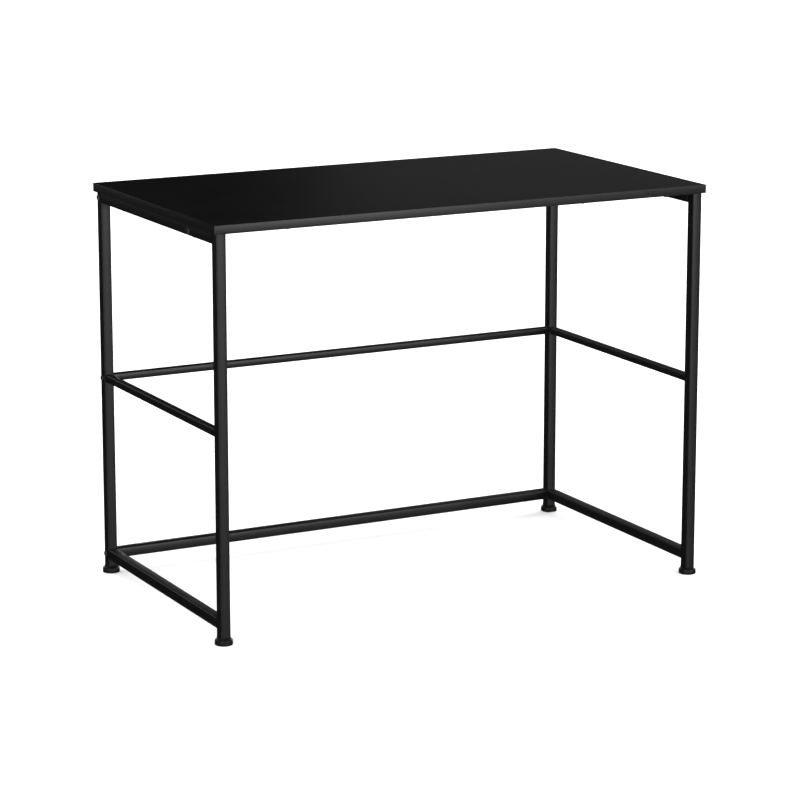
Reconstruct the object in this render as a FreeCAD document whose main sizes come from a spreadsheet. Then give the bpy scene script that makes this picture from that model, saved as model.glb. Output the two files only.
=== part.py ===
import FreeCAD, Part
import os
import re
import Sketcher

# A writing desk: a laminated board on a frame of square steel tube, standing on four
# levelling feet. Millimetres, +Z up. The origin is on the floor below the middle of the
# desktop, +X is to the sitter's right and the front edge faces -Y.

SIZES = {
    # desktop
    "desk_width": 1000.0,
    "desk_depth": 550.0,
    "desk_height": 750.0,
    "board_thickness": 16.0,
    "band_thickness": 1.0,
    "band_rounding": 0.5,
    "overhang": 5.0,
    # tubes: legs, top, bottom and cross rails are full size, the middle rails are slim
    "tube_side": 20.0,
    "slim_side": 15.0,
    "tube_wall": 1.2,
    "tube_rounding": 2.0,
    "bottom_rail_height": 37.0,
    "middle_rail_height": 380.0,
    "cross_rail_setback": 120.0,
    # plates with an M6 thread, pressed into the cross rails' ends
    "plate_thickness": 5.0,
    "plate_play": 0.05,
    # M6 button-head bolts
    "bolt_radius": 3.0,
    "bolt_length": 30.0,
    "bolt_hole_radius": 3.3,
    "bolt_head_radius": 5.25,
    "bolt_head_height": 3.3,
    "bolt_dome": 2.6,
    "key_radius": 2.31,
    "bolt_key_depth": 2.0,
    # pan-head screws that hold the desktop down
    "screw_radius": 2.0,
    "screw_length": 30.0,
    "screw_tip_length": 4.0,
    "screw_tip_radius": 0.5,
    "screw_hole_radius": 2.4,
    "screw_head_radius": 4.0,
    "screw_head_height": 2.6,
    "screw_dome": 1.6,
    "slot_length": 4.4,
    "slot_width": 1.1,
    "slot_depth": 1.4,
    "pilot_spare": 1.0,
    "side_screw_inset": 90.0,
    "cross_screw_inset": 170.0,
    # levelling feet: a moulded base that holds the ball end of an M8 stud
    "foot_height": 12.0,
    "foot_radius": 16.25,
    "foot_bevel": 3.5,
    "foot_rounding": 0.8,
    "ball_radius": 5.0,
    "ball_height": 6.2,
    "ball_play": 0.05,
    "mouth_radius": 4.6,
    "mouth_flare": 1.4,
    "key_hole_radius": 3.2,
    "neck_radius": 3.2,
    "neck_top": 12.5,
    "stud_radius": 4.0,
    "stud_top": 31.0,
    "stud_chamfer": 0.8,
    "stud_key_depth": 3.5,
    # plastic inserts in the legs' lower ends
    "flange_thickness": 2.0,
    "insert_depth": 18.0,
    "thread_play": 0.03,
}

# Places that several parts share, in words of the sheet.
LEG_X = "(desk_width / 2 - overhang - tube_side / 2)"
LEG_Y = "(desk_depth / 2 - overhang - tube_side / 2)"
LEG_BOTTOM = "(foot_height + flange_thickness)"
FRAME_TOP = "(desk_height - board_thickness)"
TOP_RAIL_HEIGHT = f"({FRAME_TOP} - tube_side / 2)"
LEG_LENGTH = f"({FRAME_TOP} - {LEG_BOTTOM})"
SIDE_RAIL_LENGTH = f"(2 * {LEG_Y} - tube_side)"
CROSS_RAIL_LENGTH = f"(2 * {LEG_X} - tube_side)"
CROSS_RAIL_Y = "(cross_rail_setback - desk_depth / 2)"
OUTER_FACE_X = f"({LEG_X} + tube_side / 2)"
CROSS_HOLE_ALONG = f"({SIDE_RAIL_LENGTH} / 2 + {CROSS_RAIL_Y})"
SIDE_SCREWS_ALONG = ["side_screw_inset", f"({SIDE_RAIL_LENGTH} - side_screw_inset)"]
CROSS_SCREWS_ALONG = ["cross_screw_inset", f"({CROSS_RAIL_LENGTH} - cross_screw_inset)"]

X_AXIS = FreeCAD.Vector(1, 0, 0)
Y_AXIS = FreeCAD.Vector(0, 1, 0)
Z_AXIS = FreeCAD.Vector(0, 0, 1)
NO_TURN = FreeCAD.Rotation()

# References to a sketch's own origin and axes, and the centre of an arc or circle.
ORIGIN = (-1, 1)
VERTICAL_AXIS = -2
CENTRE = 3

# Edges are picked by place; two places nearer than this are the same.
NEAR = 0.01

doc = FreeCAD.newDocument("writing_desk")
sheet = doc.addObject("Spreadsheet::Sheet", "Sizes")
for row, (alias, number) in enumerate(SIZES.items(), start=1):
    sheet.set(f"A{row}", alias)
    sheet.set(f"B{row}", str(number))
    sheet.setAlias(f"B{row}", alias)
doc.recompute()

nodes = []


# ---------------------------------------------------------------- helpers

def on_sheet(words):
    """An expression on the sheet's cells, from words such as 'desk_width / 2'."""
    return re.sub(r"[a-z_]+", lambda found: "Sizes." + found.group(0), words)


def bind(thing, prop, words):
    thing.setExpression(prop, on_sheet(words))


def turned(x_to, z_to):
    """The rotation that takes local X to x_to and local Z to z_to."""
    return FreeCAD.Rotation(x_to, z_to.cross(x_to), z_to, "ZXY")


def place(thing, where, turn=NO_TURN):
    thing.Placement = FreeCAD.Placement(FreeCAD.Vector(), turn)
    for axis, words in zip("xyz", where):
        bind(thing, f"Placement.Base.{axis}", words)


def new_body(name):
    body = doc.addObject("PartDesign::Body", name)
    body.Label = name
    return body


def new_node(name):
    body = new_body(name)
    nodes.append(body)
    return body


def new_sketch(body, role, name):
    sketch = body.newObject("Sketcher::SketchObject", name)
    plane = next(part for part in body.Origin.OriginFeatures if part.Role == role)
    sketch.AttachmentSupport = (plane, [""])
    sketch.MapMode = "FlatFace"
    return sketch


def dimension(sketch, kind, where, words):
    """A driving dimension of the sketch, bound to the sheet."""
    index = sketch.addConstraint(Sketcher.Constraint(kind, *where, 1.0))
    name = f"size_{index}"
    sketch.renameConstraint(index, name)
    bind(sketch, f"Constraints.{name}", words)


def outline(sketch, corners):
    """A closed outline of straight lines. Each corner is (across, up) in words, 0 or more."""
    count = len(corners)
    start = [FreeCAD.Vector(1 + i, 1 + i * i, 0) for i in range(count)]
    for i in range(count):
        sketch.addGeometry(Part.LineSegment(start[i], start[(i + 1) % count]), False)
    for i in range(count):
        sketch.addConstraint(Sketcher.Constraint("Coincident", i, 2, (i + 1) % count, 1))
    for i, (across, up) in enumerate(corners):
        dimension(sketch, "DistanceX", (*ORIGIN, i, 1), across)
        dimension(sketch, "DistanceY", (*ORIGIN, i, 1), up)


def centred_square(sketch, side_across, side_up):
    """A rectangle centred on the sketch's origin."""
    corners = [(-1, -1), (1, -1), (1, 1), (-1, 1)]
    points = [FreeCAD.Vector(across, up, 0) for across, up in corners]
    for i in range(4):
        sketch.addGeometry(Part.LineSegment(points[i], points[(i + 1) % 4]), False)
    for i in range(4):
        sketch.addConstraint(Sketcher.Constraint("Coincident", i, 2, (i + 1) % 4, 1))
        sketch.addConstraint(Sketcher.Constraint("Vertical" if i % 2 else "Horizontal", i))
    sketch.addConstraint(Sketcher.Constraint("Symmetric", 0, 1, 1, 2, *ORIGIN))
    dimension(sketch, "DistanceX", (0, 1, 0, 2), side_across)
    dimension(sketch, "DistanceY", (1, 1, 1, 2), side_up)


def circles(sketch, radius, ups, across=None):
    """Circles at the given heights, on the vertical axis or at a distance from it."""
    for up in ups:
        first = FreeCAD.Vector(1, 1, 0)
        index = sketch.addGeometry(Part.Circle(first, Z_AXIS, 1), False)
        dimension(sketch, "Radius", (index,), radius)
        dimension(sketch, "DistanceY", (*ORIGIN, index, CENTRE), up)
        if across is None:
            held = Sketcher.Constraint("PointOnObject", index, CENTRE, VERTICAL_AXIS)
            sketch.addConstraint(held)
        else:
            dimension(sketch, "DistanceX", (*ORIGIN, index, CENTRE), across)


def pad(body, sketch, length, name="pad"):
    feature = body.newObject("PartDesign::Pad", name)
    feature.Profile = sketch
    bind(feature, "Length", length)
    sketch.Visibility = False
    return feature


def pocket_through(body, sketch, name):
    """A cut both ways from the sketch, right through the body."""
    feature = body.newObject("PartDesign::Pocket", name)
    feature.Profile = sketch
    feature.Type = "ThroughAll"
    feature.Midplane = True
    return feature


def drill(body, role, radius, ups, name):
    """Round holes right through the body, square to one of its middle planes."""
    sketch = new_sketch(body, role, f"{name}_sketch")
    circles(sketch, radius, ups)
    pocket_through(body, sketch, name)


def round_edges(body, radius, chosen, name, kind="PartDesign::Fillet", prop="Radius"):
    """Rounds, or with another kind chamfers, the edges of the body that chosen() picks."""
    doc.recompute()
    base = body.Tip
    names = [f"Edge{i}" for i, edge in enumerate(base.Shape.Edges, start=1) if chosen(edge)]
    feature = body.newObject(kind, name)
    feature.Base = (base, names)
    bind(feature, prop, radius)
    return feature


def runs_along_z(edge):
    box = edge.BoundBox
    return box.ZLength > NEAR and box.XLength < NEAR and box.YLength < NEAR


def is_bottom_ring(edge):
    """A circle at local Z 0, at least 1 mm across."""
    return edge.BoundBox.ZMax < NEAR and edge.BoundBox.XLength > 1


def off_axis(edge):
    middle = edge.BoundBox.Center
    return max(abs(middle.x), abs(middle.y))


def primitive(body, kind, name, sizes, height="0"):
    """A PartDesign primitive standing on the body's Z axis at a height."""
    feature = body.newObject(f"PartDesign::{kind}", name)
    for prop, words in sizes.items():
        bind(feature, prop, words)
    bind(feature, "Placement.Base.z", height)
    return feature


def revolve(body, corners, name="turned"):
    """A solid turned about the body's Z axis from an outline in its XZ plane."""
    sketch = new_sketch(body, "XZ_Plane", f"{name}_outline")
    outline(sketch, corners)
    feature = body.newObject("PartDesign::Revolution", name)
    feature.Profile = sketch
    feature.ReferenceAxis = (sketch, ["V_Axis"])
    feature.Angle = 360
    return feature


def group(name, original, placements):
    """One node of equal loose pieces: links to one body, each at its own place."""
    links = []
    for count, (where, turn) in enumerate(placements, start=1):
        link = doc.addObject("App::Link", f"{name}_{count}")
        link.LinkedObject = original
        place(link, where, turn)
        links.append(link)
    compound = doc.addObject("Part::Compound", name)
    compound.Label = name
    compound.Links = links
    nodes.append(compound)


# ---------------------------------------------------------------- tubes

def tube(name, side, length):
    """Square tube along local Z from the body's origin, its corners rounded in and out."""
    body = new_node(name)
    outside = new_sketch(body, "XY_Plane", "outside")
    centred_square(outside, side, side)
    pad(body, outside, length)
    hollow = new_sketch(body, "XY_Plane", "hollow")
    centred_square(hollow, f"{side} - 2 * tube_wall", f"{side} - 2 * tube_wall")
    pocket_through(body, hollow, "bore")
    outer_face = SIZES[side] / 2
    round_edges(
        body,
        "tube_rounding",
        lambda edge: runs_along_z(edge) and off_axis(edge) > outer_face - NEAR,
        "outer_corners",
    )
    round_edges(
        body,
        "tube_rounding - tube_wall",
        lambda edge: runs_along_z(edge) and off_axis(edge) < outer_face - NEAR,
        "inner_corners",
    )
    return body


# Along X: local X faces back and local Y faces up. Along Y: local X faces left, Y up.
ALONG_X = turned(Y_AXIS, X_AXIS)
ALONG_Y = turned(-X_AXIS, Y_AXIS)


def side_frame(side, sign):
    """Two legs, and the top, middle and bottom rails welded between them."""
    leg_x = f"{sign} * {LEG_X}"
    cross_rail_heights = [TOP_RAIL_HEIGHT, "middle_rail_height", "bottom_rail_height"]
    front_leg = tube(f"{side}_front_leg", "tube_side", LEG_LENGTH)
    place(front_leg, (leg_x, f"-{LEG_Y}", LEG_BOTTOM))
    rear_leg = tube(f"{side}_rear_leg", "tube_side", LEG_LENGTH)
    holes = [f"{height} - {LEG_BOTTOM}" for height in cross_rail_heights]
    drill(rear_leg, "YZ_Plane", "bolt_hole_radius", holes, "bolt_holes")
    place(rear_leg, (leg_x, LEG_Y, LEG_BOTTOM))

    start_y = f"-{SIDE_RAIL_LENGTH} / 2"
    top_rail = tube(f"{side}_top_rail", "tube_side", SIDE_RAIL_LENGTH)
    drill(top_rail, "YZ_Plane", "bolt_hole_radius", [CROSS_HOLE_ALONG], "bolt_hole")
    drill(top_rail, "XZ_Plane", "screw_hole_radius", SIDE_SCREWS_ALONG, "screw_holes")
    place(top_rail, (leg_x, start_y, TOP_RAIL_HEIGHT), ALONG_Y)
    middle_rail = tube(f"{side}_middle_rail", "slim_side", SIDE_RAIL_LENGTH)
    place(middle_rail, (leg_x, start_y, "middle_rail_height"), ALONG_Y)
    bottom_rail = tube(f"{side}_bottom_rail", "tube_side", SIDE_RAIL_LENGTH)
    place(bottom_rail, (leg_x, start_y, "bottom_rail_height"), ALONG_Y)


def cross_rail(name, side, y, height, screws=False):
    """A rail between the side frames, its ends butted against their inner faces."""
    rail = tube(name, side, CROSS_RAIL_LENGTH)
    if screws:
        drill(rail, "XZ_Plane", "screw_hole_radius", CROSS_SCREWS_ALONG, "screw_holes")
    place(rail, (f"-{CROSS_RAIL_LENGTH} / 2", y, height), ALONG_X)


side_frame("left", -1)
side_frame("right", 1)
cross_rail("front_cross_rail", "tube_side", CROSS_RAIL_Y, TOP_RAIL_HEIGHT, screws=True)
cross_rail("rear_top_rail", "tube_side", LEG_Y, TOP_RAIL_HEIGHT, screws=True)
cross_rail("rear_middle_rail", "slim_side", LEG_Y, "middle_rail_height")
cross_rail("rear_bottom_rail", "tube_side", LEG_Y, "bottom_rail_height")


# ---------------------------------------------------------------- desktop

def desktop_board():
    """The laminated board inside its edge bands, with blind pilot holes in its underside."""
    board = new_node("desktop_board")
    length = "desk_width - 2 * band_thickness"
    depth = "desk_depth - 2 * band_thickness"
    sketch = new_sketch(board, "XY_Plane", "board_outline")
    outline(sketch, [("0", "0"), (length, "0"), (length, depth), ("0", depth)])
    pad(board, sketch, "board_thickness")

    pilots = new_sketch(board, "XY_Plane", "pilots_sketch")
    corner_x = "desk_width / 2 - band_thickness"
    corner_y = "desk_depth / 2 - band_thickness"
    side_ys = [f"{corner_y} - {SIDE_RAIL_LENGTH} / 2 + {along}" for along in SIDE_SCREWS_ALONG]
    cross_ys = [f"{corner_y} + {CROSS_RAIL_Y}", f"{corner_y} + {LEG_Y}"]
    radius = "screw_radius + thread_play"
    for sign in "-+":
        circles(pilots, radius, side_ys, f"{corner_x} {sign} {LEG_X}")
    for along in CROSS_SCREWS_ALONG:
        circles(pilots, radius, cross_ys, f"{corner_x} - {CROSS_RAIL_LENGTH} / 2 + {along}")
    holes = board.newObject("PartDesign::Pocket", "pilot_holes")
    holes.Profile = pilots
    holes.Reversed = True
    bind(holes, "Length", "screw_length - tube_side + pilot_spare")
    place(board, (f"-({length}) / 2", f"-({depth}) / 2", FRAME_TOP))


def edge_band(name, length, where, outwards, along):
    """A plastic strip round one edge of the board, its outer long corners rounded."""
    band = new_node(name)
    section = new_sketch(band, "XY_Plane", "section")
    centred_square(section, "band_thickness", "board_thickness")
    pad(band, section, length)
    round_edges(
        band,
        "band_rounding",
        lambda edge: runs_along_z(edge) and edge.BoundBox.Center.x > 0,
        "long_corners",
    )
    place(band, where, turned(outwards, along))


desktop_board()
band_x = "(desk_width / 2 - band_thickness / 2)"
band_y = "(desk_depth / 2 - band_thickness / 2)"
band_z = "desk_height - board_thickness / 2"
short_band = "desk_depth - 2 * band_thickness"
far_left = "-desk_width / 2"
edge_band("front_edge_band", "desk_width", (far_left, f"-{band_y}", band_z), -Y_AXIS, X_AXIS)
edge_band("rear_edge_band", "desk_width", (far_left, band_y, band_z), Y_AXIS, X_AXIS)
for side, sign in (("left", -1), ("right", 1)):
    corner = (f"{sign} * {band_x}", f"-({short_band}) / 2", band_z)
    edge_band(f"{side}_edge_band", short_band, corner, X_AXIS * sign, Y_AXIS)


# ---------------------------------------------------------------- threaded plates and bolts

def threaded_plate(name, side):
    """A square plate that fills a rail's end, with an M6 thread through its middle."""
    plate = new_body(name)
    face = new_sketch(plate, "XY_Plane", "face")
    width = f"{side} - 2 * tube_wall - 2 * plate_play"
    centred_square(face, width, width)
    pad(plate, face, "plate_thickness")
    round_edges(plate, "tube_rounding - tube_wall", runs_along_z, "corners")
    primitive(
        plate,
        "SubtractiveCylinder",
        "thread",
        {"Radius": "bolt_radius + thread_play", "Height": "plate_thickness"},
    )
    return plate


def bolt():
    """M6 button-head bolt: its dome faces local -Z and its shank runs along +Z."""
    body = new_body("button_head_bolt")
    end = "(bolt_head_height + bolt_length)"
    revolve(body, [
        ("0", "0"),
        ("bolt_head_radius", "0"),
        ("bolt_head_radius", "bolt_head_height"),
        ("bolt_radius", "bolt_head_height"),
        ("bolt_radius", end),
        ("0", end),
    ])
    round_edges(body, "bolt_dome", is_bottom_ring, "dome")
    primitive(
        body,
        "SubtractivePrism",
        "key_socket",
        {"Circumradius": "key_radius", "Height": "bolt_key_depth"},
    )
    return body


TOWARDS_RIGHT = turned(Y_AXIS, X_AXIS)
TOWARDS_LEFT = turned(Y_AXIS, -X_AXIS)
full_size_joints = [
    (LEG_Y, TOP_RAIL_HEIGHT),
    (LEG_Y, "bottom_rail_height"),
    (CROSS_RAIL_Y, TOP_RAIL_HEIGHT),
]
slim_joints = [(LEG_Y, "middle_rail_height")]


def both_ends(joints, inset):
    """Places at both ends of the cross rails, each facing the middle of the desk."""
    places = []
    for y, height in joints:
        places.append(((f"-{inset}", y, height), TOWARDS_RIGHT))
        places.append(((inset, y, height), TOWARDS_LEFT))
    return places


rail_end = f"({CROSS_RAIL_LENGTH} / 2)"
full_plate = threaded_plate("full_size_plate", "tube_side")
slim_plate = threaded_plate("slim_plate", "slim_side")
group("cross_rail_threaded_plates", full_plate, both_ends(full_size_joints, rail_end))
group("middle_rail_threaded_plates", slim_plate, both_ends(slim_joints, rail_end))

bolt_body = bolt()
head_top = f"({OUTER_FACE_X} + bolt_head_height)"
bolt_places = both_ends(full_size_joints + slim_joints, head_top)
group("left_frame_bolts", bolt_body, bolt_places[0::2])
group("right_frame_bolts", bolt_body, bolt_places[1::2])


# ---------------------------------------------------------------- desktop screws

def screw():
    """Pan-head screw with a cross recess: head down, shank along +Z to a blunt tip."""
    body = new_body("pan_head_screw")
    end = "(screw_head_height + screw_length)"
    revolve(body, [
        ("0", "0"),
        ("screw_head_radius", "0"),
        ("screw_head_radius", "screw_head_height"),
        ("screw_radius", "screw_head_height"),
        ("screw_radius", f"{end} - screw_tip_length"),
        ("screw_tip_radius", end),
        ("0", end),
    ])
    round_edges(body, "screw_dome", is_bottom_ring, "dome")
    for name, across, up in (("slot_x", "Length", "Width"), ("slot_y", "Width", "Length")):
        slot = body.newObject("PartDesign::SubtractiveBox", name)
        bind(slot, across, "slot_length")
        bind(slot, up, "slot_width")
        bind(slot, "Height", "slot_depth")
        long_side = "x" if across == "Length" else "y"
        short_side = "y" if across == "Length" else "x"
        bind(slot, f"Placement.Base.{long_side}", "-slot_length / 2")
        bind(slot, f"Placement.Base.{short_side}", "-slot_width / 2")
    return body


screw_body = screw()
head_bottom = f"{FRAME_TOP} - tube_side - screw_head_height"
side_screws = []
cross_screws = []
for sign in (-1, 1):
    for along in SIDE_SCREWS_ALONG:
        where = (f"{sign} * {LEG_X}", f"{along} - {SIDE_RAIL_LENGTH} / 2", head_bottom)
        side_screws.append((where, NO_TURN))
for y in (CROSS_RAIL_Y, LEG_Y):
    for along in CROSS_SCREWS_ALONG:
        where = (f"{along} - {CROSS_RAIL_LENGTH} / 2", y, head_bottom)
        cross_screws.append((where, NO_TURN))
group("side_rail_screws", screw_body, side_screws)
group("cross_rail_screws", screw_body, cross_screws)


# ---------------------------------------------------------------- levelling feet

def leg_insert(name, x, y):
    """Square plug in a leg's lower end, with a flange under it and an M8 thread."""
    insert = new_node(name)
    flange = new_sketch(insert, "XY_Plane", "flange_outline")
    centred_square(flange, "tube_side", "tube_side")
    pad(insert, flange, "flange_thickness", "flange")
    round_edges(insert, "tube_rounding", runs_along_z, "flange_corners")
    plug = new_sketch(insert, "XY_Plane", "plug_outline")
    width = "tube_side - 2 * tube_wall - 2 * plate_play"
    centred_square(plug, width, width)
    pad(insert, plug, "flange_thickness + insert_depth", "plug")
    round_edges(
        insert,
        "tube_rounding - tube_wall",
        lambda edge: runs_along_z(edge) and edge.BoundBox.ZMin > SIZES["flange_thickness"] - NEAR,
        "plug_corners",
    )
    primitive(
        insert,
        "SubtractiveCylinder",
        "thread",
        {"Radius": "stud_radius + thread_play", "Height": "flange_thickness + insert_depth"},
    )
    place(insert, (x, y, "foot_height"))


def foot_base(name, x, y):
    """Round moulded base with a bevelled top, and a socket that holds the stud's ball."""
    base = new_node(name)
    revolve(base, [
        ("0", "0"),
        ("foot_radius", "0"),
        ("foot_radius", "foot_height - foot_bevel"),
        ("foot_radius - foot_bevel", "foot_height"),
        ("0", "foot_height"),
    ])
    across = 2 * SIZES["foot_radius"]
    round_edges(
        base,
        "foot_rounding",
        lambda edge: edge.BoundBox.XLength > across - NEAR and edge.BoundBox.ZLength < NEAR,
        "rims",
    )
    socket = "ball_radius + ball_play"
    primitive(base, "SubtractiveSphere", "socket", {"Radius": socket}, "ball_height")
    above_ball = "foot_height - ball_height"
    mouth = {"Radius": "mouth_radius", "Height": above_ball}
    primitive(base, "SubtractiveCylinder", "mouth", mouth, "ball_height")
    flare = {
        "Radius1": "mouth_radius",
        "Radius2": "mouth_radius + mouth_flare",
        "Height": "mouth_flare",
    }
    primitive(base, "SubtractiveCone", "flare", flare, "foot_height - mouth_flare")
    key_hole = {"Radius": "key_hole_radius", "Height": "ball_height"}
    primitive(base, "SubtractiveCylinder", "key_hole", key_hole)
    place(base, (x, y, "0"))


def foot_stud(name, x, y):
    """M8 stud: a ball end with a key socket below, a plain neck, then the thread."""
    stud = new_node(name)
    primitive(stud, "AdditiveSphere", "ball", {"Radius": "ball_radius"}, "ball_height")
    neck = {"Radius": "neck_radius", "Height": "neck_top - ball_height"}
    primitive(stud, "AdditiveCylinder", "neck", neck, "ball_height")
    thread = {"Radius": "stud_radius", "Height": "stud_top - neck_top"}
    primitive(stud, "AdditiveCylinder", "thread", thread, "neck_top")
    round_edges(
        stud,
        "stud_chamfer",
        lambda edge: edge.BoundBox.ZMin > SIZES["stud_top"] - NEAR,
        "tip",
        kind="PartDesign::Chamfer",
        prop="Size",
    )
    key = {"Circumradius": "key_radius", "Height": "stud_key_depth"}
    primitive(stud, "SubtractivePrism", "key_socket", key, "ball_height - ball_radius")
    place(stud, (x, y, "0"))


for end, y in (("front", f"-{LEG_Y}"), ("rear", LEG_Y)):
    for side, x in (("left", f"-{LEG_X}"), ("right", LEG_X)):
        leg_insert(f"{side}_{end}_leg_insert", x, y)
        foot_base(f"{side}_{end}_foot_base", x, y)
        foot_stud(f"{side}_{end}_foot_stud", x, y)


# ---------------------------------------------------------------- checks and files

doc.recompute()
for thing in doc.Objects:
    if "Invalid" in thing.State or "Error" in thing.State:
        raise RuntimeError(f"{thing.Label} did not build: {thing.State}")
for node in nodes:
    if node.Shape.isNull() or not node.Shape.isValid():
        raise RuntimeError(f"{node.Label} has no valid shape")

os.makedirs("parts", exist_ok=True)
for node in nodes:
    node.Shape.exportStep(os.path.join("parts", f"{node.Label}.step"))
    box = node.Shape.BoundBox
    low = f"{box.XMin:.2f} {box.YMin:.2f} {box.ZMin:.2f}"
    high = f"{box.XMax:.2f} {box.YMax:.2f} {box.ZMax:.2f}"
    print(node.Label, len(node.Shape.Solids), "solids", round(node.Shape.Volume), low, "to", high)
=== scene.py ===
import math

import bpy
from mathutils import Matrix, Vector


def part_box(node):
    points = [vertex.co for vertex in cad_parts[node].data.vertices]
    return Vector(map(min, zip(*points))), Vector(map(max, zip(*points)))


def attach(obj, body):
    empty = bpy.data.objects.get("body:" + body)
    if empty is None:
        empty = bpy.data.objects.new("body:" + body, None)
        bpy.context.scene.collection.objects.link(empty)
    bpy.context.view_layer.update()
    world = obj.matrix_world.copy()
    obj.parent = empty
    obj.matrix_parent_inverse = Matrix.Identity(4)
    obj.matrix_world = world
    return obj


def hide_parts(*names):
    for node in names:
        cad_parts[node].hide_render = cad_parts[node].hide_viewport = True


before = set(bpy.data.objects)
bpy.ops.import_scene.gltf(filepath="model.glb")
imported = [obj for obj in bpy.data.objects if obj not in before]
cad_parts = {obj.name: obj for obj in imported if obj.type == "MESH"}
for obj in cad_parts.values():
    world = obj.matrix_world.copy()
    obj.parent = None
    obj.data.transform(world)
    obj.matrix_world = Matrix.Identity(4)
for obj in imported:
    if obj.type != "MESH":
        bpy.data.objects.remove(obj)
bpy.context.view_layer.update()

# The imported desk: lengths in metres, origin on the floor below the middle of the desktop,
# +X to the sitter's right, the front edge towards -Y.
MM = 0.001
SIDES = ("left", "right")
ENDS = ("front", "rear")


# ---------------------------------------------------------------- working in the mesh

def nothing_selected():
    bpy.ops.object.select_all(action="DESELECT")


def only(piece):
    """Makes piece the one selected object and the active one."""
    nothing_selected()
    piece.select_set(True)
    bpy.context.view_layer.objects.active = piece


def named(name):
    """Names the object just added and puts its place and turn into its mesh."""
    piece = bpy.context.object
    piece.name = name
    piece.data.name = name
    bpy.ops.object.transform_apply(location=True, rotation=True, scale=True)
    return piece


def block(name, low, high):
    nothing_selected()
    low, high = Vector(low), Vector(high)
    bpy.ops.mesh.primitive_cube_add(size=1, location=(low + high) / 2, scale=high - low)
    return named(name)


def rod(name, radius, low, high, sides=48, place=(0, 0)):
    """An upright cylinder between two heights."""
    nothing_selected()
    bpy.ops.mesh.primitive_cylinder_add(
        vertices=sides,
        radius=radius,
        depth=high - low,
        location=(*place, (low + high) / 2),
    )
    return named(name)


def pick(piece, faces=None, edges=None, points=None):
    """Enters edit mode with just those faces, edges or points selected that pass the test."""
    only(piece)
    mesh = piece.data
    bpy.ops.object.mode_set(mode="EDIT")
    bpy.ops.mesh.select_mode(type="FACE" if faces else "EDGE" if edges else "VERT")
    bpy.ops.mesh.select_all(action="DESELECT")
    bpy.ops.object.mode_set(mode="OBJECT")
    place = [point.co for point in mesh.vertices]
    if faces:
        for face in mesh.polygons:
            face.select = faces(face.center, face.normal)
    if edges:
        for edge in mesh.edges:
            edge.select = edges(*(place[i] for i in edge.vertices))
    if points:
        for point in mesh.vertices:
            point.select = points(point.co)
    bpy.ops.object.mode_set(mode="EDIT")


def done(piece, smooth=None):
    """Turns the normals outwards. Faces that meet at less than smooth degrees shade softly."""
    bpy.ops.object.mode_set(mode="OBJECT")
    only(piece)
    bpy.ops.object.mode_set(mode="EDIT")
    bpy.ops.mesh.select_all(action="SELECT")
    bpy.ops.mesh.normals_make_consistent(inside=False)
    bpy.ops.object.mode_set(mode="OBJECT")
    if smooth:
        bpy.ops.object.shade_smooth_by_angle(angle=math.radians(smooth))
    return piece


def bevel(piece, edges, offset, segments):
    """Bevels the edges that pass the test."""
    pick(piece, edges=edges)
    bpy.ops.mesh.bevel(offset=offset, segments=segments)
    bpy.ops.object.mode_set(mode="OBJECT")


def apply_modifier(piece, kind, **settings):
    only(piece)
    modifier = piece.modifiers.new(kind.lower(), kind)
    for key, value in settings.items():
        setattr(modifier, key, value)
    bpy.ops.object.modifier_apply(modifier=modifier.name)


def cut(piece, *cutters):
    """Takes the cutters' shapes out of the piece and removes them."""
    for cutter in cutters:
        apply_modifier(piece, "BOOLEAN", operation="DIFFERENCE", object=cutter)
        bpy.data.objects.remove(cutter)


def joined(name, pieces):
    """One object of several pieces, which keeps each piece's mesh as it is."""
    only(pieces[0])
    for piece in pieces:
        piece.select_set(True)
    bpy.ops.object.join()
    pieces[0].name = name
    return pieces[0]


def copy_at(original, name, transform):
    """A copy with its own mesh, moved there in the mesh."""
    piece = original.copy()
    piece.data = original.data.copy()
    piece.name = name
    piece.data.name = name
    piece.data.transform(transform)
    bpy.context.scene.collection.objects.link(piece)
    return piece


def close(a, b, within=1e-5):
    return abs(a - b) < within


def flat_at(height):
    """A test for edges that lie at one height."""
    return lambda a, b: close(a.z, height) and close(b.z, height)


def standing(a, b):
    """A test for edges that stand straight up."""
    return close(a.x, b.x) and close(a.y, b.y)


def centre_of(node):
    low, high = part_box(node)
    return (low + high) / 2


def extent(node):
    low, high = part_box(node)
    return high - low


def finish_piece(piece, material, body, nodes=()):
    """Gives a piece its material and its body, and hides the CAD nodes that it stands for."""
    piece.data.materials.clear()
    piece.data.materials.append(material)
    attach(piece, body)
    if nodes:
        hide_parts(*nodes)


# ---------------------------------------------------------------- materials

def colour(hex_code):
    """An sRGB hex colour as linear red, green, blue and alpha."""
    parts = [int(hex_code[i:i + 2], 16) / 255 for i in (1, 3, 5)]
    linear = [c / 12.92 if c <= 0.04045 else ((c + 0.055) / 1.055) ** 2.4 for c in parts]
    return (*linear, 1.0)


def add(material, kind, settings=None, **links):
    """Adds a node. Settings are its own; links and values go to sockets by name, _ for a space."""
    tree = material.node_tree
    new = tree.nodes.new(kind)
    for key, value in (settings or {}).items():
        setattr(new, key, value)
    for name, value in links.items():
        socket = new.inputs[name.replace("_", " ")]
        if isinstance(value, bpy.types.NodeSocket):
            tree.links.new(value, socket)
        else:
            socket.default_value = value
    return new


def ramp(material, factor, stops):
    """A colour ramp through (position, hex colour) stops."""
    new = add(material, "ShaderNodeValToRGB", Fac=factor)
    while len(new.color_ramp.elements) < len(stops):
        new.color_ramp.elements.new(0.5)
    for element, (position, hex_code) in zip(new.color_ramp.elements, stops):
        element.position = position
        element.color = colour(hex_code)
    return new.outputs["Color"]


def scaled(material, value, low, high):
    """A 0 to 1 value spread over low to high."""
    new = add(material, "ShaderNodeMapRange", Value=value, To_Min=low, To_Max=high)
    return new.outputs["Result"]


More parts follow.
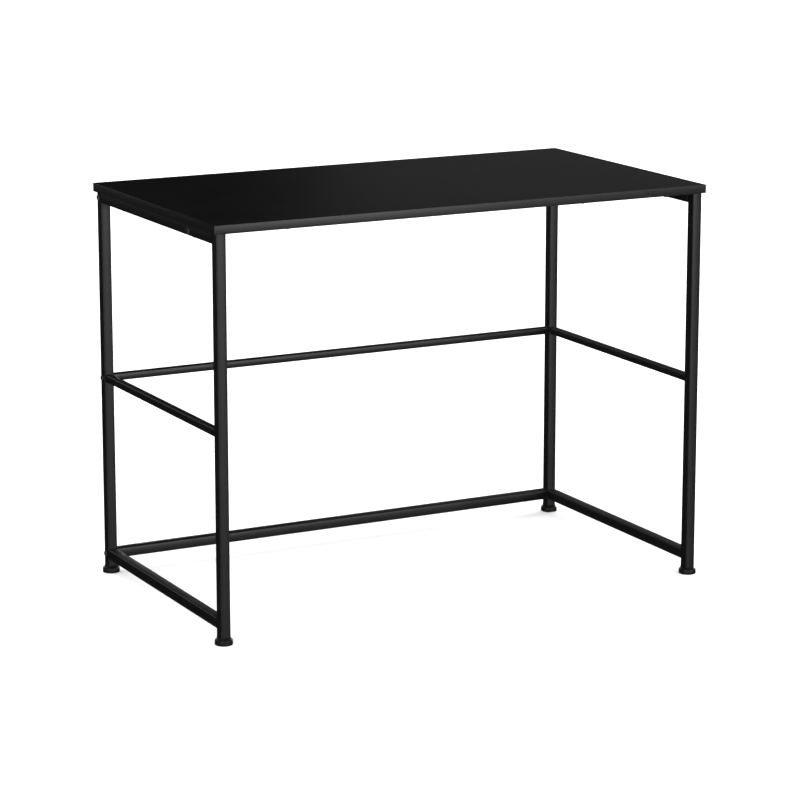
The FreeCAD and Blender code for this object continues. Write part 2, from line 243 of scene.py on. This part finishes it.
def surface(name, metallic=0.0, specular=0.5, ior=1.5):
    """A material with one shader, its even values set on the shader's own sockets."""
    material = bpy.data.materials.new(name)
    material.use_nodes = True
    tree = material.node_tree
    shader = next(node for node in tree.nodes if node.type == "BSDF_PRINCIPLED")
    shader.inputs["Metallic"].default_value = metallic
    shader.inputs["Specular IOR Level"].default_value = specular
    shader.inputs["IOR"].default_value = ior
    place = add(material, "ShaderNodeTexCoord").outputs["Object"]
    return material, shader, place


def noise(material, place, size, detail=2.0):
    """Soft noise whose lumps are about size metres across."""
    new = add(material, "ShaderNodeTexNoise", Vector=place, Scale=1 / size, Detail=detail)
    return new.outputs["Fac"]


def bumped(material, shader, *layers):
    """Bumps from (height 0 to 1, depth in metres) layers, laid one on the other."""
    normal = None
    for height, depth in layers:
        links = {"Height": height, "Distance": depth, "Strength": 1.0}
        if normal:
            links["Normal"] = normal
        normal = add(material, "ShaderNodeBump", **links).outputs["Normal"]
    material.node_tree.links.new(normal, shader.inputs["Normal"])


def link(material, output, socket):
    material.node_tree.links.new(output, socket)


def powder_coated_steel():
    """Black polyester powder, sprayed and baked: satin, with a fine orange peel where it flowed."""
    material, shader, place = surface("powder_coated_steel")
    # orange peel is 1 to 2 mm from hump to hump
    peel = noise(material, place, 1.6 * MM, detail=1.5)
    # the slow swell of an uneven film, drawn wider than real so that it shows
    swell = noise(material, place, 9 * MM, detail=1.0)
    cloud = noise(material, place, 40 * MM, detail=3.0)
    tone = ramp(material, cloud, [(0.3, "#080808"), (0.7, "#0c0c0c")])
    link(material, tone, shader.inputs["Base Color"])
    link(material, scaled(material, swell, 0.36, 0.42), shader.inputs["Roughness"])
    bumped(material, shader, (swell, 0.00006), (peel, 0.00001))
    return material


def melamine_board():
    """Particle board faced with black melamine paper, pressed against a pearl-grained plate."""
    material, shader, place = surface("black_melamine", specular=0.25)
    # pearl grain is 0.4 mm on the real sheet; it is drawn at 1.2 mm so that it shows
    pearl = add(
        material,
        "ShaderNodeTexVoronoi",
        {"feature": "SMOOTH_F1"},
        Vector=place,
        Scale=1 / (1.2 * MM),
        Smoothness=0.6,
    ).outputs["Distance"]
    cloud = noise(material, place, 60 * MM, detail=4.0)
    tone = ramp(material, cloud, [(0.3, "#050505"), (0.7, "#080808")])
    link(material, tone, shader.inputs["Base Color"])
    link(material, scaled(material, cloud, 0.40, 0.44), shader.inputs["Roughness"])
    bumped(material, shader, (pearl, 0.00002))
    return material


def abs_edge_band():
    """Extruded ABS strip: satin, with faint lines from the die along its length."""
    material, shader, place = surface("abs_edge_band", specular=0.45, ior=1.53)
    # 30 mm lumps squeezed 60 times in height: die lines half a millimetre apart
    drawn = add(material, "ShaderNodeMapping", Vector=place, Scale=(1, 1, 60)).outputs["Vector"]
    lines = noise(material, drawn, 30 * MM)
    # the matt roll's grain is about 0.3 mm; it is drawn at 0.7 mm so that it shows
    grain = noise(material, place, 0.7 * MM, detail=1.0)
    tone = ramp(material, lines, [(0.3, "#090909"), (0.7, "#0e0e0e")])
    link(material, tone, shader.inputs["Base Color"])
    link(material, scaled(material, lines, 0.34, 0.46), shader.inputs["Roughness"])
    bumped(material, shader, (grain, 0.00001))
    return material


def moulded_polypropylene():
    """Spark-eroded mould finish on black polypropylene, a little brown beside the steel."""
    material, shader, place = surface("moulded_polypropylene", specular=0.45, ior=1.49)
    # sparks leave pits of about 0.1 mm; they are drawn at 0.6 mm so that they show
    grain = noise(material, place, 0.6 * MM)
    flow = noise(material, place, 6 * MM)
    tone = ramp(material, flow, [(0.3, "#0b0b09"), (0.7, "#11110e")])
    link(material, tone, shader.inputs["Base Color"])
    link(material, scaled(material, flow, 0.32, 0.44), shader.inputs["Roughness"])
    bumped(material, shader, (grain, 0.000015))
    return material


def black_zinc_steel():
    """Steel fasteners, zinc plated and passivated black: dark metal with a soft sheen."""
    material, shader, place = surface("black_zinc_steel", metallic=0.85)
    # the passivation's cloudiness, a millimetre or so across
    haze = noise(material, place, 1.2 * MM, detail=3.0)
    tone = ramp(material, haze, [(0.3, "#48484a"), (0.7, "#565658")])
    link(material, tone, shader.inputs["Base Color"])
    link(material, scaled(material, haze, 0.28, 0.42), shader.inputs["Roughness"])
    bumped(material, shader, (haze, 0.000008))
    return material


def zinc_plated_steel():
    """Bright zinc on turned steel: pale blue-grey metal with a spangle of fine crystals."""
    material, shader, place = surface("zinc_plated_steel", metallic=1.0)
    # the crystals are under 0.1 mm; they are drawn at 0.8 mm so that they show
    spangle = add(
        material, "ShaderNodeTexVoronoi", Vector=place, Scale=1 / (0.8 * MM)
    ).outputs["Distance"]
    tone = ramp(material, spangle, [(0.0, "#b9bdc2"), (0.8, "#a4a9b0")])
    link(material, tone, shader.inputs["Base Color"])
    link(material, scaled(material, spangle, 0.22, 0.36), shader.inputs["Roughness"])
    bumped(material, shader, (spangle, 0.000006))
    return material


STEEL = powder_coated_steel()
MELAMINE = melamine_board()
EDGE_ABS = abs_edge_band()
PLASTIC = moulded_polypropylene()
BLACK_ZINC = black_zinc_steel()
BRIGHT_ZINC = zinc_plated_steel()


# ---------------------------------------------------------------- frame tubes

TUBE_ROUNDING = 2.0 * MM
TUBE_WALL = 1.2 * MM
TUBE_CROWN = 0.4 * MM     # roll-formed square tube is a little fuller in the middle of a face
CROWN_LINES = (-0.6, -0.2, 0.2, 0.6)     # lines along a face, as shares of its flat half width
AXES = {"x": Vector((1, 0, 0)), "y": Vector((0, 1, 0))}
UPRIGHT = Matrix.Identity(4)
LYING_X = Matrix.Rotation(math.radians(90), 4, "Y")
LYING_Y = Matrix.Rotation(math.radians(-90), 4, "X")


def square_tube(side, length):
    """Upright tube about the origin: rounded corners, slightly crowned faces, open ends."""
    half = side / 2 - TUBE_CROWN
    tube = block("tube", (-half, -half, -length / 2), (half, half, length / 2))
    pick(tube, faces=lambda centre, normal: abs(normal.z) > 0.9)
    bpy.ops.mesh.delete(type="FACE")
    bpy.ops.object.mode_set(mode="OBJECT")
    bevel(tube, standing, TUBE_ROUNDING, segments=5)
    bpy.ops.object.mode_set(mode="EDIT")
    flat = half - TUBE_ROUNDING
    for axis in AXES.values():
        for line in CROWN_LINES:
            bpy.ops.mesh.select_all(action="SELECT")
            bpy.ops.mesh.bisect(plane_co=axis * line * flat, plane_no=axis)
    bpy.ops.object.mode_set(mode="OBJECT")
    for across, out in (("x", "y"), ("y", "x")):
        for line in CROWN_LINES:
            rise = TUBE_CROWN * (1 - line * line)
            for sign in (-1, 1):
                pick(
                    tube,
                    points=lambda p: close(getattr(p, across), line * flat)
                    and close(getattr(p, out), sign * half),
                )
                bpy.ops.transform.translate(value=AXES[out] * sign * rise)
                bpy.ops.object.mode_set(mode="OBJECT")
    apply_modifier(tube, "SOLIDIFY", thickness=TUBE_WALL, offset=-1)
    return done(tube, smooth=35)


def place_tubes(model, names, turn):
    """Copies a tube, turned, into the place of each named one."""
    for name in names:
        where = Matrix.Translation(centre_of(name)) @ turn
        tube = copy_at(model, f"{name}_tube", where)
        finish_piece(tube, STEEL, "frame", [name])
    bpy.data.objects.remove(model)


leg_size = extent("left_front_leg")
side_rail_size = extent("left_bottom_rail")
slim_side_size = extent("left_middle_rail")
cross_rail_size = extent("rear_bottom_rail")
slim_cross_size = extent("rear_middle_rail")
legs = [f"{side}_{end}_leg" for side in SIDES for end in ENDS]
side_rails = [f"{side}_{level}_rail" for side in SIDES for level in ("top", "bottom")]
slim_side_rails = [f"{side}_middle_rail" for side in SIDES]
cross_rails = ["front_cross_rail", "rear_top_rail", "rear_bottom_rail"]
place_tubes(square_tube(leg_size.x, leg_size.z), legs, UPRIGHT)
place_tubes(square_tube(side_rail_size.x, side_rail_size.y), side_rails, LYING_Y)
place_tubes(square_tube(slim_side_size.x, slim_side_size.y), slim_side_rails, LYING_Y)
place_tubes(square_tube(cross_rail_size.y, cross_rail_size.x), cross_rails, LYING_X)
place_tubes(square_tube(slim_cross_size.y, slim_cross_size.x), ["rear_middle_rail"], LYING_X)


# ---------------------------------------------------------------- weld beads

WELD_RADIUS = 1.5 * MM
WELD_STEP = 1.4 * MM       # one solidified ripple of the weld pool
WELD_END_GAP = 2.5 * MM    # a bead stops short of the tube's rounded corners
WELD_WAIST = 0.8           # a ripple's width at its foot, as a share of its width at the top
WELD_TAPER = 0.55          # the same at a bead's two ends


def weld_bead(length):
    """A fillet weld along X about the origin: a low rope of overlapping ripples."""
    nothing_selected()
    bpy.ops.mesh.primitive_cylinder_add(
        vertices=12,
        radius=WELD_RADIUS,
        depth=length,
        rotation=(0, math.radians(90), 0),
    )
    bead = named("weld_bead")
    bpy.ops.object.mode_set(mode="EDIT")
    halves = 2 * int(length / WELD_STEP)     # each ripple has a foot and a top
    lines = [-length / 2 + i * length / halves for i in range(halves + 1)]
    for along in lines[1:-1]:
        bpy.ops.mesh.select_all(action="SELECT")
        bpy.ops.mesh.bisect(plane_co=(along, 0, 0), plane_no=(1, 0, 0))
    bpy.ops.object.mode_set(mode="OBJECT")
    for along in lines[::2]:
        pick(bead, points=lambda p: close(p.x, along))
        waist = WELD_TAPER if along in (lines[0], lines[-1]) else WELD_WAIST
        bpy.ops.transform.resize(value=(1, waist, waist), center_override=(along, 0, 0))
        bpy.ops.object.mode_set(mode="OBJECT")
    return done(bead, smooth=60)


def weld_side_rail(side, level):
    """Beads below and on the inner face of a side rail, where it meets each leg."""
    rail = f"{side}_{level}_rail"
    low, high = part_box(rail)
    middle = (low + high) / 2
    bead = weld_bead(high.x - low.x - 2 * WELD_END_GAP)
    inner_x = high.x if side == "left" else low.x
    for end, y in (("front", low.y), ("rear", high.y)):
        below = Matrix.Translation((middle.x, y, low.z + TUBE_CROWN))
        inside = Matrix.Translation((inner_x, y, middle.z)) @ LYING_X
        for place, where in (("below", below), ("inside", inside)):
            copy = copy_at(bead, f"{rail}_{end}_weld_{place}", where)
            finish_piece(copy, STEEL, "frame")
    bpy.data.objects.remove(bead)


for side in SIDES:
    for level in ("top", "middle", "bottom"):
        weld_side_rail(side, level)


# ---------------------------------------------------------------- desktop

BAND_ROUNDING = 0.45 * MM


def edge_band(node, axis, sign):
    """Strip glued round the board. Its outer corners are scraped round."""
    low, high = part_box(node)
    outer = (high if sign > 0 else low)[axis]
    band = block(f"{node}_strip", low, high)

    def at_outer_face(a, b):
        return close(a[axis], outer) and close(b[axis], outer)

    bevel(band, at_outer_face, BAND_ROUNDING, segments=4)
    done(band, smooth=40)
    finish_piece(band, EDGE_ABS, "frame", [node])


for end, sign in (("front", -1), ("rear", 1)):
    edge_band(f"{end}_edge_band", 1, sign)
for side, sign in (("left", -1), ("right", 1)):
    edge_band(f"{side}_edge_band", 0, sign)


def give_material(node, material):
    """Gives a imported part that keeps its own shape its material."""
    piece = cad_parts[node]
    for slot in piece.material_slots:
        slot.material = material


give_material("desktop_board", MELAMINE)
give_material("cross_rail_threaded_plates", BRIGHT_ZINC)
give_material("middle_rail_threaded_plates", BRIGHT_ZINC)


# ---------------------------------------------------------------- bolts and screws

BOLT_RADIUS = 3.0 * MM
BOLT_HEAD_RADIUS = 5.25 * MM
BOLT_HEAD_HEIGHT = 3.3 * MM
BOLT_DOME = 2.6 * MM
BOLT_LENGTH = 30.0 * MM
BOLT_KEY_DEPTH = 2.0 * MM
KEY_RADIUS = 2.31 * MM     # half of a 4 mm hex key, measured across its corners
KEY_TIP = KEY_RADIUS / 3   # height of the drill's cone at a socket's bottom
KEY_TIP_WIDTH = 0.1        # the cone's end, as a share of the socket's width
THREAD_CHAMFER = 0.6 * MM
SPARE = 1.0 * MM           # how far a cutter starts or ends outside the piece


def hex_hole(low, high):
    """A six-sided cutter on the Z axis with a drill's conical end at the top."""
    hole = rod("hex_cutter", KEY_RADIUS, low, high, sides=6)
    pick(hole, faces=lambda centre, normal: normal.z > 0.9)
    bpy.ops.mesh.extrude_region_move(TRANSFORM_OT_translate={"value": (0, 0, KEY_TIP)})
    bpy.ops.transform.resize(
        value=(KEY_TIP_WIDTH, KEY_TIP_WIDTH, 1), center_override=(0, 0, high)
    )
    return done(hole)


def frame_bolt():
    """Button-head bolt: its dome faces -Z at the origin and its shank rises."""
    head = rod("bolt", BOLT_HEAD_RADIUS, 0, BOLT_HEAD_HEIGHT, sides=64)
    bevel(head, flat_at(0), BOLT_DOME, segments=10)
    cut(head, hex_hole(-SPARE, BOLT_KEY_DEPTH))
    end = BOLT_HEAD_HEIGHT + BOLT_LENGTH
    shank = rod("shank", BOLT_RADIUS, BOLT_HEAD_HEIGHT, end, sides=32)
    bevel(shank, flat_at(end), THREAD_CHAMFER, segments=1)
    done(shank)
    return done(joined("bolt", [head, shank]), smooth=30)


def place_bolts():
    """A bolt through each side frame into each cross rail's end."""
    bolt = frame_bolt()
    joints = {
        "rear_top": centre_of("rear_top_rail"),
        "rear_middle": centre_of("rear_middle_rail"),
        "rear_bottom": centre_of("rear_bottom_rail"),
        "front_top": centre_of("front_cross_rail"),
    }
    for side, sign in (("left", 1), ("right", -1)):
        node = f"{side}_frame_bolts"
        low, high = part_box(node)
        x = low.x if side == "left" else high.x
        turn = Matrix.Rotation(math.radians(90 * sign), 4, "Y")
        for joint, rail in joints.items():
            where = Matrix.Translation((x, rail.y, rail.z)) @ turn
            copy = copy_at(bolt, f"{side}_{joint}_bolt", where)
            finish_piece(copy, BLACK_ZINC, "frame", [node])
    bpy.data.objects.remove(bolt)


place_bolts()
give_material("side_rail_screws", BLACK_ZINC)
give_material("cross_rail_screws", BLACK_ZINC)


# ---------------------------------------------------------------- levelling feet

FOOT_HEIGHT = 12.0 * MM
FOOT_RADIUS = 16.25 * MM
FOOT_BEVEL = 3.5 * MM
FOOT_ROUNDING = 0.8 * MM
BALL_RADIUS = 5.0 * MM
BALL_HEIGHT = 6.2 * MM
BALL_PLAY = 0.05 * MM
MOUTH_RADIUS = 4.6 * MM
MOUTH_FLARE = 1.4 * MM
KEY_HOLE_RADIUS = 3.2 * MM
STUD_RADIUS = 4.0 * MM
STUD_CORE_RADIUS = 3.35 * MM
STUD_TOP = 31.0 * MM
NECK_RADIUS = 3.2 * MM
NECK_TOP = 12.5 * MM
THREAD_PITCH = 1.25 * MM
THREAD_TURNS = 13
THREAD_ROOT = 0.8          # the ridge's width at the core, as a share of the pitch
THREAD_CREST = 0.15        # its width at the crest, as a share of that at the core
THREAD_PLAY = 0.03 * MM
STUD_KEY_TOP = 4.7 * MM
FLANGE_THICKNESS = 2.0 * MM
INSERT_DEPTH = 18.0 * MM
INSERT_PLAY = 0.05 * MM
FLANGE_ROUNDING = 0.4 * MM
GRIP_RINGS = (9.0 * MM, 11.0 * MM, 13.0 * MM)
GRIP_WIDTH = 0.7 * MM
GRIP_DEPTH = 0.4 * MM


def ball(name, radius):
    nothing_selected()
    bpy.ops.mesh.primitive_uv_sphere_add(
        segments=48,
        ring_count=24,
        radius=radius,
        location=(0, 0, BALL_HEIGHT),
    )
    return named(name)


def foot_base():
    """Moulded base on the origin: bevelled top, ball socket, key hole and ringed sole."""
    base = rod("base", FOOT_RADIUS, 0, FOOT_HEIGHT, sides=96)
    bevel(base, flat_at(FOOT_HEIGHT), FOOT_BEVEL, segments=1)
    sole, shoulder = flat_at(0), flat_at(FOOT_HEIGHT - FOOT_BEVEL)
    bevel(base, lambda a, b: sole(a, b) or shoulder(a, b), FOOT_ROUNDING, segments=4)
    bevel(base, flat_at(FOOT_HEIGHT), FOOT_ROUNDING / 2, segments=3)
    nothing_selected()
    bpy.ops.mesh.primitive_cone_add(
        vertices=48,
        radius1=MOUTH_RADIUS,
        radius2=MOUTH_RADIUS + 2 * MOUTH_FLARE,
        depth=2 * MOUTH_FLARE,
        location=(0, 0, FOOT_HEIGHT),
    )
    flare = named("flare")
    mouth = rod("mouth", MOUTH_RADIUS, BALL_HEIGHT, FOOT_HEIGHT - MOUTH_FLARE / 2)
    key_hole = rod("key_hole", KEY_HOLE_RADIUS, -SPARE, BALL_HEIGHT)
    cut(base, flare, mouth, ball("socket", BALL_RADIUS + BALL_PLAY), key_hole)
    for radius in GRIP_RINGS:
        groove = rod("groove", radius + GRIP_WIDTH / 2, -GRIP_DEPTH, GRIP_DEPTH, sides=96)
        core = rod("core", radius - GRIP_WIDTH / 2, -2 * GRIP_DEPTH, 2 * GRIP_DEPTH, sides=96)
        cut(groove, core)
        cut(base, groove)
    return done(base, smooth=30)


def foot_stud():
    """Ball stud with a rolled M8 thread: a helical ridge wound round a core."""
    end = ball("stud", BALL_RADIUS)
    cut(end, hex_hole(0, STUD_KEY_TOP - KEY_TIP))
    neck = rod("neck", NECK_RADIUS, BALL_HEIGHT, NECK_TOP, sides=48)
    core = rod("core", STUD_CORE_RADIUS, NECK_TOP, STUD_TOP, sides=48)
    bevel(core, flat_at(STUD_TOP), THREAD_CHAMFER, segments=1)
    done(core)
    nothing_selected()
    start = NECK_TOP + THREAD_PITCH / 2
    bpy.ops.mesh.primitive_plane_add(
        size=1,
        location=((STUD_CORE_RADIUS + STUD_RADIUS) / 2, 0, start),
        rotation=(math.radians(90), 0, 0),
    )
    bpy.context.object.scale = (STUD_RADIUS - STUD_CORE_RADIUS, THREAD_ROOT * THREAD_PITCH, 1)
    ridge = named("ridge")
    pick(ridge, points=lambda p: close(p.x, STUD_RADIUS))
    bpy.ops.transform.resize(value=(1, 1, THREAD_CREST), center_override=(STUD_RADIUS, 0, start))
    bpy.ops.object.mode_set(mode="OBJECT")
    apply_modifier(
        ridge,
        "SCREW",
        axis="Z",
        screw_offset=THREAD_PITCH,
        iterations=THREAD_TURNS,
        steps=24,
        render_steps=24,
        use_merge_vertices=True,
        merge_threshold=1e-6,
    )
    bpy.ops.object.mode_set(mode="EDIT")
    bpy.ops.mesh.select_all(action="SELECT")
    bpy.ops.mesh.fill_holes(sides=4)
    done(ridge)
    return done(joined("stud", [end, neck, core, ridge]), smooth=30)


def leg_plug(node):
    """Square plug of a leg: a flange with softened corners and a plug that the thread fits."""
    low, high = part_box(node)
    flange = block("flange", low, (high.x, high.y, low.z + FLANGE_THICKNESS))
    bevel(flange, standing, TUBE_ROUNDING, segments=5)
    bevel(flange, flat_at(low.z), FLANGE_ROUNDING, segments=3)
    done(flange)
    inset = Vector((TUBE_WALL + INSERT_PLAY, TUBE_WALL + INSERT_PLAY, 0))
    top = Vector((high.x, high.y, low.z + FLANGE_THICKNESS + INSERT_DEPTH)) - inset
    plug = block("plug", low + inset + Vector((0, 0, FLANGE_THICKNESS)), top)
    bevel(plug, standing, TUBE_ROUNDING - TUBE_WALL, segments=3)
    done(plug)
    centre = (low + high) / 2
    for piece in (flange, plug):
        bore = rod(
            "bore",
            STUD_RADIUS + THREAD_PLAY,
            low.z - SPARE,
            high.z + SPARE,
            sides=64,
            place=(centre.x, centre.y),
        )
        cut(piece, bore)
    piece = done(joined(f"{node}_plug", [flange, plug]), smooth=30)
    finish_piece(piece, PLASTIC, "frame", [node])


def place_feet():
    """A moulded base, a ball stud and a plug at the end of each leg."""
    base = foot_base()
    stud = foot_stud()
    for side in SIDES:
        for end in ENDS:
            foot = f"{side}_{end}"
            centre = centre_of(f"{foot}_leg")
            where = Matrix.Translation((centre.x, centre.y, 0))
            moulding = copy_at(base, f"{foot}_foot_moulding", where)
            finish_piece(
                moulding, PLASTIC, f"{foot}_foot", [f"{foot}_foot_base"]
            )
            threaded = copy_at(stud, f"{foot}_foot_ball_stud", where)
            finish_piece(
                threaded, BRIGHT_ZINC, f"{foot}_stud", [f"{foot}_foot_stud"]
            )
            leg_plug(f"{foot}_leg_insert")
    bpy.data.objects.remove(base)
    bpy.data.objects.remove(stud)


place_feet()


# ---------------------------------------------------------------- the stage

AIM = Vector((0, 0, 0.4))      # a little above the middle of the desk's height
# name, place, width and height, power in watts
SOFTBOXES = (
    # the sheen on the front faces
    ("front_softbox", (4.4, -13.4, 0.65), (2.4, 1.2), 380),
    # fill for the left and right faces
    ("front_left_softbox", (-4.5, -4.5, 1.4), (2.5, 2.0), 120),
    ("front_right_softbox", (4.2, -4.0, 1.9), (2.0, 1.6), 50),
    ("right_softbox", (5.5, 3.0, 0.8), (2.0, 1.4), 150),
    # for the rear faces and the side rails' tops: too low to reach the desktop
    ("rear_softbox", (2.0, 9.0, 0.35), (2.5, 0.6), 70),
    # the fade across the desktop
    ("back_right_softbox", (2.4, 3.2, 1.1), (1.8, 1.6), 1.6),
    ("back_left_softbox", (-1.4, 3.8, 1.6), (2.0, 1.8), 12),
)
SKY_STRENGTH = 5.4
SKY_ANGLE = 150                # degrees; nearly the whole upper half
BACKDROP = "#ffffff"
WALLS = "#161616"
PALE_BELOW = "#b4b4b4"
CAMERA_PLACE = (-2.5546, -4.8698, 1.5945)
CAMERA_TURN = 27.70            # degrees to the right of straight ahead
CAMERA_TILT = -11.92           # degrees, downwards
CAMERA_LENS = 134.4            # mm
CAMERA_SENSOR = 36             # mm across
CAMERA_SHIFT = -0.0625         # of the sensor's width
FLOOR_SIDE = 120


def floor():
    """A plain pale floor, too large for its edge to show. Seen from below it is clear."""
    nothing_selected()
    bpy.ops.mesh.primitive_plane_add(size=FLOOR_SIDE)
    plane = bpy.context.object
    plane.name = "floor"
    material, shader, _ = surface("pale_floor", specular=0.0)
    shader.inputs["Base Color"].default_value = colour("#fafafa")
    shader.inputs["Roughness"].default_value = 0.9
    facing = add(material, "ShaderNodeNewGeometry").outputs["Backfacing"]
    clear = add(material, "ShaderNodeBsdfTransparent").outputs["BSDF"]
    blend = add(material, "ShaderNodeMixShader", Fac=facing)
    link(material, shader.outputs["BSDF"], blend.inputs[1])
    link(material, clear, blend.inputs[2])
    output = next(n for n in material.node_tree.nodes if n.type == "OUTPUT_MATERIAL")
    link(material, blend.outputs["Shader"], output.inputs["Surface"])
    plane.data.materials.append(material)
    plane.visible_glossy = False


def softbox(name, place, size, power):
    """A rectangular soft light that faces the desk."""
    nothing_selected()
    bpy.ops.object.light_add(type="AREA", location=place)
    lamp = bpy.context.object
    lamp.name = name
    lamp.data.shape = "RECTANGLE"
    lamp.data.size, lamp.data.size_y = size
    lamp.data.energy = power
    lamp.rotation_euler = (AIM - Vector(place)).to_track_quat("-Z", "Y").to_euler()


def overhead_sky():
    """Even light from above, as under a large diffuser. It leaves no highlights of its own."""
    nothing_selected()
    bpy.ops.object.light_add(type="SUN")
    lamp = bpy.context.object
    lamp.name = "overhead_diffuser"
    lamp.data.energy = SKY_STRENGTH
    lamp.data.angle = math.radians(SKY_ANGLE)
    lamp.visible_glossy = False


def room():
    """A dark studio, which is what the gloss shows, paler straight below. The backdrop is pale."""
    world = bpy.data.worlds.new("studio")
    bpy.context.scene.world = world
    world.use_nodes = True
    dark = world.node_tree.nodes["Background"]
    direction = add(world, "ShaderNodeTexCoord").outputs["Generated"]
    height = add(world, "ShaderNodeSeparateXYZ", Vector=direction).outputs["Z"]
    spread = add(world, "ShaderNodeMapRange", Value=height, From_Min=-1.0, From_Max=1.0)
    # 0 is straight down, 0.5 level and 1 straight up
    tone = ramp(world, spread.outputs["Result"], [(0.1, PALE_BELOW), (0.3, WALLS)])
    link(world, tone, dark.inputs["Color"])
    pale = add(world, "ShaderNodeBackground", Color=colour(BACKDROP))
    seen = add(world, "ShaderNodeLightPath").outputs["Is Camera Ray"]
    blend = add(world, "ShaderNodeMixShader", Fac=seen)
    link(world, dark.outputs["Background"], blend.inputs[1])
    link(world, pale.outputs["Background"], blend.inputs[2])
    output = world.node_tree.nodes["World Output"]
    link(world, blend.outputs["Shader"], output.inputs["Surface"])


def camera():
    """Long lens at standing eye height, in front of the desk and to its left."""
    nothing_selected()
    bpy.ops.object.camera_add(location=CAMERA_PLACE)
    eye = bpy.context.object
    eye.name = "camera"
    eye.rotation_euler = (math.radians(90 + CAMERA_TILT), 0, math.radians(-CAMERA_TURN))
    eye.data.lens = CAMERA_LENS
    eye.data.sensor_width = CAMERA_SENSOR
    eye.data.shift_y = CAMERA_SHIFT
    bpy.context.scene.camera = eye


floor()
overhead_sky()
room()
for name, place, size, power in SOFTBOXES:
    softbox(name, place, size, power)
camera()
bpy.context.scene.view_settings.view_transform = "Standard"
